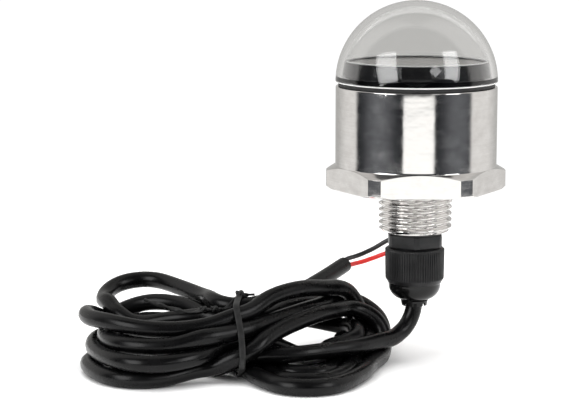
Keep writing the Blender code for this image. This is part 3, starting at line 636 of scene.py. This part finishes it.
def push_apart(points, free, pairs, diameter):
    """Eases apart each pair of passes that cut into each other."""
    push = 0.3
    first, second = pairs
    gap = points[first] - points[second]
    distance = np.linalg.norm(gap, axis=1)
    touching = distance < diameter
    first, second, gap, distance = first[touching], second[touching], gap[touching], distance[touching]
    share = (push * (diameter - distance) / np.maximum(distance, 1e-6))[:, None] * gap
    moved = np.zeros_like(points)
    met = np.zeros(len(points))
    np.add.at(moved, first, share)
    np.add.at(moved, second, -share)
    np.add.at(met, first, 1)
    np.add.at(met, second, 1)
    points += free * moved / np.sqrt(np.maximum(met, 1))[:, None]


def relax(drawn, steps, diameter=2 * CABLE_RADIUS, least_bend=12.0):
    """The cable as it settles: stiff in bending, solid, and on the floor.

    It is held near its drawn route, less as it settles, and hardly at all along Y. Its ends are fixed.
    """
    hold, least_hold = np.array([0.08, 0.004, 0.08]), 0.4
    stiffness, bend_pull, length_pull = 0.2, 0.3, 0.25
    fixed_start, fixed_end = 6, 8
    look_every, look_beyond = 12, 2.5
    count = len(drawn)
    points = drawn.copy()
    free = np.ones((count, 1))
    free[:fixed_start] = 0
    free[-fixed_end:] = 0
    segment = np.linalg.norm(np.diff(drawn, axis=0), axis=1).mean()
    first, second = np.triu_indices(count, math.ceil(1.6 * diameter / segment))
    near = None
    for step in range(steps):
        if step % look_every == 0:
            close = np.linalg.norm(points[first] - points[second], axis=1) < diameter + look_beyond
            near = first[close], second[close]
        points += free * hold * max(least_hold, 1 - step / steps) * (drawn - points)
        bend = np.zeros_like(points)
        bend[1:-1] = 0.5 * (points[:-2] + points[2:]) - points[1:-1]
        ease = np.zeros_like(points)
        ease[2:-2] = bend[2:-2] - 0.5 * (bend[1:-3] + bend[3:-1])
        points += free * stiffness * ease
        for _ in range(4):
            push_apart(points, free, near, diameter)
            points[:, 2] = np.maximum(points[:, 2], REST_Z)
        for reach in (3, 4, 6):
            chord = 2 * least_bend * math.sin(min(reach * segment / (2 * least_bend), 1.5))
            gap = points[reach:] - points[:-reach]
            distance = np.linalg.norm(gap, axis=1)
            share = (np.clip(chord - distance, 0, None) / distance * bend_pull)[:, None] * gap
            points[reach:] += free[reach:] * share
            points[:-reach] -= free[:-reach] * share
        for _ in range(2):
            gap = np.diff(points, axis=0)
            distance = np.linalg.norm(gap, axis=1)
            share = ((segment - distance) / distance * length_pull)[:, None] * gap
            points[:-1] -= free[:-1] * share
            points[1:] += free[1:] * share
    return points


def curve_piece(name, points, radius, finish, body, resolution=4, closed=False):
    """A tube along the points, in mm, as one spline."""
    curve = bpy.data.curves.new(name, "CURVE")
    curve.dimensions = "3D"
    curve.bevel_depth = radius * MM
    curve.bevel_resolution = resolution
    curve.use_fill_caps = not closed
    spline = curve.splines.new("POLY")
    spline.points.add(len(points) - 1)
    for point, place in zip(spline.points, points):
        point.co = (*[value * MM for value in place], 1.0)
    spline.use_cyclic_u = closed
    spline.use_smooth = True
    return link(name, curve, finish, body)


def make_cable(finishes):
    """The cable's tube; also gives the settled points, in mm."""
    steps = 400
    settled = relax(smooth_route(ROUTE, CABLE_RADIUS), steps)
    fine = smooth_route(settled, CABLE_RADIUS / 2)
    cable = curve_piece("supply_cable", fine, CABLE_RADIUS, finishes["jacket"], "light", 5)
    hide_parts("cable_lead", "cable_hank", "cable_tail")
    return cable, settled


# The tie.


def loop_round(settled, reach):
    """The tight loop round all passes of the cable at the tie, as points in mm.

    Its near side bows towards +X, and its far side the other way.
    """
    crossing = np.flatnonzero((settled[:-1, 0] - TIE_X) * (settled[1:, 0] - TIE_X) <= 0)
    centres = settled[crossing][:, 1:]
    loop = []
    for turn in even_angles(240) + math.pi / 2:
        heading = np.array([math.cos(turn), math.sin(turn)])
        y, z = centres[np.argmax(centres @ heading)] + heading * reach
        loop.append((y, max(z, FLOOR_Z + TIE_STRAND + 0.1)))
    loop = np.array(loop + loop[:1])
    along = np.concatenate([[0], np.cumsum(np.linalg.norm(np.diff(loop, axis=0), axis=1))])
    at = np.linspace(0, along[-1], 121)[:-1]
    y, z = (np.interp(at, along, loop[:, k]) for k in range(2))
    top, foot = z.max(), z.min()
    share = (top - z) / (top - foot)
    near = np.clip((y.mean() - y) / 6, -1, 1)
    bow = 2.2 * np.sin(share * 2.4) - 0.4
    x = TIE_X - 1.5 + near * bow
    return np.stack([x, y, z], axis=1)


def twin_band(name, path, strand, spread, finish, body, closed=True, twist=0.0):
    """Two strands side by side as one strip along the path, its section a little pinched in the middle."""
    count = len(path)
    forward = np.roll(path, -1, axis=0) - np.roll(path, 1, axis=0)
    if not closed:
        forward[0], forward[-1] = path[1] - path[0], path[-1] - path[-2]
    forward /= np.linalg.norm(forward, axis=1)[:, None]
    turns = even_angles(20)
    waist = 0.74 + 0.26 * np.abs(np.cos(turns))
    bm = bmesh.new()
    loops = []
    for index, (place, ahead) in enumerate(zip(path, forward)):
        side = np.array([1.0, 0.0, 0.0]) - ahead[0] * ahead
        side /= np.linalg.norm(side)
        up = np.cross(ahead, side)
        angle = twist * index / count * 2 * math.pi
        across = math.cos(angle) * side + math.sin(angle) * up
        over = np.cross(ahead, across)
        ring = []
        for turn, pinch in zip(turns, waist):
            wide = spread * math.cos(turn)
            tall = strand * math.sin(turn) * (pinch + 0.2 * math.cos(turn) ** 2)
            ring.append(bm.verts.new((place + across * wide + over * tall) * MM))
        loops.append(ring)
    following = loops[1:] + loops[:1] if closed else loops[1:]
    for low, high in zip(loops, following):
        for index in range(len(low)):
            after = (index + 1) % len(low)
            bm.faces.new((low[index], low[after], high[after], high[index]))
    if not closed:
        bm.faces.new(loops[0])
        bm.faces.new(loops[-1])
    return finish_mesh(name, bm, finish, body)


def resting(path, settled, radius):
    """Lifts the path's points on to the cable beneath them where it is higher, then smooths their heights."""
    reach = CABLE_RADIUS + radius
    heights = []
    for x, y, z in path:
        apart = np.hypot(settled[:, 0] - x, settled[:, 1] - y)
        under = apart < reach
        if under.any():
            tops = settled[under, 2] + np.sqrt(reach**2 - apart[under] ** 2)
            z = max(tops.max(), z)
        heights.append(z)
    heights = np.array(heights)
    for _ in range(6):
        even = 0.25 * heights[:-2] + 0.5 * heights[1:-1] + 0.25 * heights[2:]
        heights[1:-1] = np.maximum(heights[1:-1], even)
    return np.column_stack([np.array(path)[:, :2], heights])


def overhand(centre, size):
    """A small pulled-tight overhand knot."""
    t = np.linspace(0, 2 * math.pi, 60, endpoint=False)
    x = np.sin(t) + 2 * np.sin(2 * t)
    y = np.cos(t) - 2 * np.cos(2 * t)
    z = -1.4 * np.sin(3 * t)
    return np.array(centre) + size / 3 * np.stack([x, y, z], axis=1)


def make_tie(finishes, settled):
    """The tie's twin strand round the waist, its knot, and its two twisted ends."""
    finish = finishes["tie"]
    half_width, end_half_width, end_strand = 0.9, 0.7, 0.4
    knot_size, knot_strand, end_knot_size = 0.95, 0.45, 0.85
    loop = loop_round(settled, CABLE_RADIUS + TIE_STRAND + 0.05)
    band = twin_band("cable_tie_band", loop, TIE_STRAND, half_width, finish, "light")
    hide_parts("cable_tie")
    top = loop[np.argmax(loop[:, 2])]
    parts = [band]
    knot = overhand(top + np.array([0.2, 0.0, 0.55]), knot_size)
    parts.append(curve_piece("cable_tie_knot", knot, knot_strand, finish, "light", 3, True))
    ends = {
        "long": [
            (-52.3, -15.5, -31.5), (-56, -16.8, -32.6), (-59.5, -16.3, -33.3), (-64, -14.6, -33.6),
            (-70, -12.5, -32.4), (-76.9, -10.5, -30.6),
        ],
        "short": [(top[0] + 2.0, top[1] + 1.2, top[2] - 2.0), (top[0] + 4.3, top[1] + 1.5, top[2] - 2.0)],
    }
    for name, points in ends.items():
        path = smooth_route([top, *points], 0.8)
        path = resting(path, settled, TIE_STRAND)
        twist = len(path) / 14
        label = f"cable_tie_{name}_end"
        end = twin_band(label, path, end_strand, end_half_width, finish, "light", False, twist)
        parts.append(end)
        if name == "long":
            for number, share in enumerate((0.30, 0.40)):
                centre = path[round(share * len(path))] + np.array([0.0, 0.0, 0.2])
                label = f"cable_tie_end_knot_{number + 1}"
                blob = overhand(centre, end_knot_size)
                parts.append(curve_piece(label, blob, end_strand, finish, "light", 3, True))
    return parts


# The stripped wires.


def strands_tip(name, start, end, radius, finish):
    """A tinned end: strands twisted together, as one fluted rod with a cut face."""
    start, end = np.array(start), np.array(end)
    ahead = (end - start) / np.linalg.norm(end - start)
    side = np.cross(ahead, (0.0, 0.0, 1.0))
    side /= np.linalg.norm(side)
    up = np.cross(side, ahead)
    turns = even_angles(42)
    cut_share, cut_size = 0.97, 0.82
    loops = []
    bm = bmesh.new()
    for share in np.linspace(0, 1, 22):
        reach = radius * (1.0 if share < cut_share else cut_size)
        flute = 0.86 + 0.14 * np.abs(np.sin(3.0 * (turns - share * 4.0)))
        ring = []
        for turn, part in zip(turns, flute):
            across = side * math.cos(turn) + up * math.sin(turn)
            ring.append(bm.verts.new((start + (end - start) * share + across * reach * part) * MM))
        loops.append(ring)
    for low, high in zip(loops, loops[1:]):
        for index in range(len(low)):
            after = (index + 1) % len(low)
            bm.faces.new((low[index], low[after], high[after], high[index]))
    bm.faces.new(loops[0])
    bm.faces.new(loops[-1])
    return finish_mesh(name, bm, finish, "light")


def make_wires(finishes):
    """Each core wire, with its tinned end."""
    gap, tip_length, tip_radius = 0.05, 3.5, 0.5
    for colour, route in WIRES.items():
        path = smooth_route(route, 0.7)
        wire = curve_piece(f"core_wire_{colour}", path, WIRE_RADIUS, finishes[colour], "light")
        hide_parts(f"wire_{colour}")
        end = np.array(route[-1])
        heading = end - np.array(route[-2])
        heading /= np.linalg.norm(heading)
        tip_ends = end + heading * gap, end + heading * tip_length
        tip = strands_tip(f"bare_end_{colour}", *tip_ends, tip_radius, finishes["copper"])
        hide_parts(f"wire_tip_{colour}")


# Finishes on the CAD pieces that stay.


def finish_cad_nodes(finishes):
    """Each carried-over CAD node gets the procedural finish of its kind."""
    by_word = {
        "gasket": "rubber", "washer": "rubber", "seal": "rubber",
        "bezel": "gloss_nylon", "insert": "gloss_nylon", "diffuser": "diffuser",
        "spreader": "aluminium", "pillar": "aluminium", "capacitor": "aluminium", "board_screw": "steel",
        "led_board": "board", "driver_board": "board", "coil": "ferrite",
        "led_lead_red": "red", "led_lead_black": "black",
        "core_red": "red", "core_black": "black", "cable_inner": "jacket",
    }
    for name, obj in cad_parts.items():
        wanted = next((finish for word, finish in by_word.items() if word in name), None)
        if wanted is None and name.startswith("led_"):
            wanted = "led"
        if wanted is not None:
            obj.data.materials.clear()
            obj.data.materials.append(finishes[wanted])


# The studio.


def make_world():
    """A pale room with a low white card at the camera and a dark flag on each side of it.

    The ceiling's lamp lights only matt surfaces, and the camera itself sees plain white.
    """
    dark_flag, flag_glow = (0.035, 0.037, 0.042), (0.165, 0.172, 0.186)
    high_sides = (0.15, 0.15, 0.155)
    backdrop_edge, backdrop_middle = (1.06, 1.045, 1.03), (0.56, 0.555, 0.54)
    white_card, ceiling = (1.75, 1.75, 1.73), (4.0, 4.0, 3.98)
    world = bpy.data.worlds.new("studio")
    bpy.context.scene.world = world
    world.use_nodes = True
    tree = world.node_tree
    tree.nodes.clear()

    def add(kind, inputs=(), **settings):
        node = tree.nodes.new(kind)
        for key, value in settings.items():
            setattr(node, key, value)
        for key, value in dict(inputs).items():
            if isinstance(value, bpy.types.NodeSocket):
                tree.links.new(value, node.inputs[key])
            else:
                node.inputs[key].default_value = value
        return node

    def ease(value, start, end):
        inputs = {"Value": value, "From Min": start, "From Max": end}
        return add("ShaderNodeMapRange", inputs, interpolation_type="SMOOTHSTEP").outputs["Result"]

    def combine(operation, a, b):
        return add("ShaderNodeMath", {0: a, 1: b}, operation=operation).outputs["Value"]

    heading = add("ShaderNodeSeparateXYZ", {"Vector": add("ShaderNodeTexCoord").outputs["Generated"]})
    # Azimuth 0 is the camera's side, and 90 degrees is +X.
    backward = combine("MULTIPLY", heading.outputs["Y"], -1.0)
    azimuth = combine("ARCTAN2", heading.outputs["X"], backward)
    to_side = add("ShaderNodeMath", {0: azimuth}, operation="ABSOLUTE").outputs["Value"]
    radians = math.radians
    card = combine(
        "MULTIPLY",
        ease(azimuth, radians(-23), radians(-20)),
        ease(azimuth, radians(24), radians(20)),
    )
    room = combine("ADD", ease(azimuth, radians(76), radians(84)), ease(azimuth, radians(-93), radians(-101)))
    behind = ease(to_side, radians(112), radians(158))
    raised = ease(heading.outputs["Z"], 0.05, 0.6)
    overhead = ease(heading.outputs["Z"], 0.72, 0.98)
    level = ease(heading.outputs["Z"], -0.05, -0.11)

    def blend(factor, a, b):
        made = add("ShaderNodeMix", {"Factor": factor}, data_type="RGBA")
        for socket, value in ((made.inputs[6], a), (made.inputs[7], b)):
            if isinstance(value, bpy.types.NodeSocket):
                tree.links.new(value, socket)
            else:
                socket.default_value = (*value, 1.0)
        return made.outputs[2]

    glow = combine(
        "MULTIPLY",
        ease(to_side, radians(24), radians(54)),
        ease(to_side, radians(94), radians(62)),
    )
    flags = blend(glow, dark_flag, flag_glow)
    sides = blend(raised, flags, high_sides)
    backdrop = blend(behind, backdrop_edge, backdrop_middle)
    around = blend(room, sides, backdrop)
    low_card = combine("MULTIPLY", card, level)
    path = add("ShaderNodeLightPath")
    lamp = combine("MULTIPLY", overhead, path.outputs["Is Diffuse Ray"])
    colour = blend(lamp, blend(low_card, around, white_card), ceiling)
    seen = add("ShaderNodeBackground", {"Color": (1, 1, 1, 1), "Strength": 1.05})
    lit = add("ShaderNodeBackground", {"Color": colour, "Strength": 1.0})
    shaders = {0: path.outputs["Is Camera Ray"], 1: lit.outputs[0], 2: seen.outputs[0]}
    mix = add("ShaderNodeMixShader", shaders)
    add("ShaderNodeOutputWorld", {"Surface": mix.outputs[0]})


def softbox(name, azimuth, elevation, size, radiance, roll):
    """An area light aimed at the dome; azimuth 0 is on the camera's side, 90 on +X."""
    distance = 0.9
    a, e = math.radians(azimuth), math.radians(elevation)
    way = Vector((math.sin(a) * math.cos(e), -math.cos(a) * math.cos(e), math.sin(e)))
    data = bpy.data.lights.new(name, "AREA")
    data.shape = "RECTANGLE"
    data.size, data.size_y = size
    data.energy = radiance * math.pi * size[0] * size[1]
    lamp = bpy.data.objects.new(name, data)
    lamp.location = Vector((0.0, 0.0, DOME_CENTRE_Z * MM)) + way * distance
    turned = way.to_track_quat("Z", "Y").to_matrix() @ Matrix.Rotation(math.radians(roll), 3, "Z")
    lamp.rotation_euler = turned.to_euler()
    bpy.context.scene.collection.objects.link(lamp)


def make_lights():
    """Three softboxes, which show as bright shapes in the dome."""
    softbox("left_softbox", -50, 21, (0.46, 0.66), 5.0, 22)
    softbox("right_softbox", 52, 24, (0.34, 0.60), 5.0, -14)
    softbox("small_softbox", 24, 19, (0.19, 0.19), 3.2, 40)


def make_floor():
    """A round pale table under the cable."""
    radius, thickness = 0.285, 0.004
    bm = bmesh.new()
    rim = [(radius * math.cos(a), radius * math.sin(a)) for a in even_angles(96)]
    top = bm.faces.new([bm.verts.new((x, y, FLOOR_Z * MM)) for x, y in rim])
    made = bmesh.ops.extrude_face_region(bm, geom=[top])
    for item in made["geom"]:
        if isinstance(item, bmesh.types.BMVert):
            item.co.z -= thickness
    bmesh.ops.recalc_face_normals(bm, faces=bm.faces)
    mesh = bpy.data.meshes.new("floor")
    bm.to_mesh(mesh)
    bm.free()
    nodes = Nodes("pale_table")
    nodes.set(Base_Color=(0.93, 0.93, 0.93), Roughness=0.9, Specular_IOR_Level=0.1)
    mesh.materials.append(nodes.material)
    floor = bpy.data.objects.new("floor", mesh)
    bpy.context.scene.collection.objects.link(floor)


def make_camera():
    """In front and to the left, looking nine degrees down."""
    place, tilt, focal_length = (-0.0358, -0.542, 0.082), 81.01, 119.2
    data = bpy.data.cameras.new("camera")
    data.sensor_width = 36.0
    data.lens = focal_length
    camera = bpy.data.objects.new("camera", data)
    camera.location = place
    camera.rotation_euler = (math.radians(tilt), 0.0, 0.0)
    data.clip_start, data.clip_end = 0.01, 20.0
    bpy.context.scene.collection.objects.link(camera)
    bpy.context.scene.camera = camera
    bpy.context.scene.view_settings.view_transform = "Standard"


def main():
    """Builds the studio, the pieces that replace the CAD's, and the finishes of the rest."""
    finishes = make_finishes()
    make_camera()
    make_world()
    make_lights()
    make_floor()
    make_housing(finishes)
    make_lens(finishes)
    make_gland_body(finishes)
    make_gland_nut(finishes)
    cable, settled = make_cable(finishes)
    tie = make_tie(finishes, settled)
    make_wires(finishes)
    finish_cad_nodes(finishes)


main()
